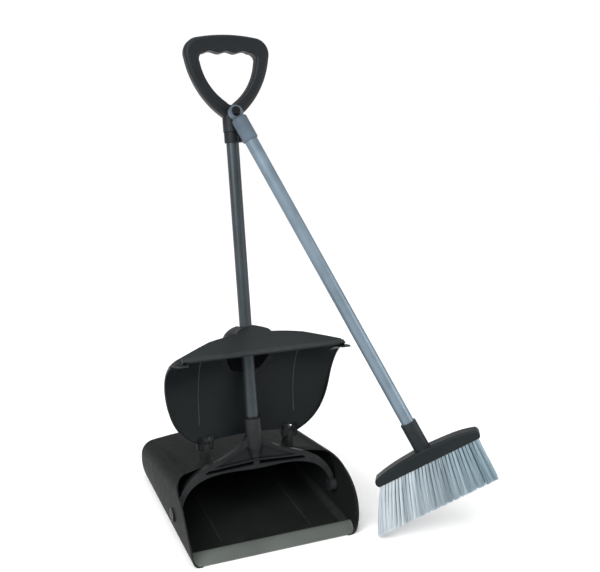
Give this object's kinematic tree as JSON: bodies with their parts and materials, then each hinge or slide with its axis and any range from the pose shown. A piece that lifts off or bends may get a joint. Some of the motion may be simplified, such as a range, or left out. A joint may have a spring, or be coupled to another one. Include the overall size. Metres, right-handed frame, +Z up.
{
  "type": "upright dust pan and brush set",
  "caption": "Upright dust pan with a raked open mouth, hinged lid and D-grip tube handle, and a lobby broom that hangs by its cap from a peg under the grip.",
  "frame": {"origin": "centre of the pan's flat base, on the floor", "axes": "+X to the user's right when facing the open mouth, +Y to the pan's rear, +Z up"},
  "size_m": [0.5734, 0.511, 0.9192],
  "materials": {
    "black_plastic": "moulded polypropylene, faintly grained",
    "lip_rubber": "matte",
    "pin_plastic": "smooth moulded",
    "grip_plastic": "fine spark-eroded grain",
    "dark_tube": "powder coat",
    "grey_tube": "powder coat, silver blue grey",
    "grey_plastic": "smooth moulded",
    "screw_steel": "zinc plated",
    "bristles": "flagged filament"
  },
  "bodies": {
    "pan": {"dust_box": "black_plastic", "lip_strip": "lip_rubber", "left_pivot_pin": "pin_plastic", "right_pivot_pin": "pin_plastic", "left_hinge_pin": "pin_plastic", "right_hinge_pin": "pin_plastic"},
    "lid": {"lid": "black_plastic"},
    "handle": {"yoke": "black_plastic", "socket_ring": "pin_plastic", "yoke_screw": "screw_steel", "pan_tube": "dark_tube", "d_grip": "grip_plastic", "grip_screw": "screw_steel", "grip_collar": "grip_plastic", "tube_clip": "grip_plastic", "hanger_peg": "pin_plastic"},
    "broom": {"hanger_cap": "grey_plastic", "broom_tube": "grey_tube", "threaded_plug": "pin_plastic", "broom_block": "grip_plastic", "bristle_row_1": "bristles", "bristle_row_2": "bristles", "bristle_row_3": "bristles", "bristle_row_4": "bristles"}
  },
  "joints": [
    {"name": "handle_pivot", "type": "hinge", "parent": "pan", "child": "handle", "pos_m": [0, -0.08, 0.051], "axis": [1, 0, 0], "range_deg": [0, 77]},
    {"name": "lid_hinge", "type": "hinge", "parent": "pan", "child": "lid", "pos_m": [0, -0.02, 0.15], "axis": [1, 0, 0], "range_deg": [0, 106.3]},
    {"name": "broom_swing", "type": "hinge", "parent": "handle", "child": "broom", "pos_m": [0, 0.05731, 0.78174], "axis": [0, -0.9048, 0.4258], "range_deg": [0, 60]}
  ],
  "couplings": [
    {"joint": "lid_hinge", "follows": "handle_pivot", "ratio": 1.3805}
  ]
}
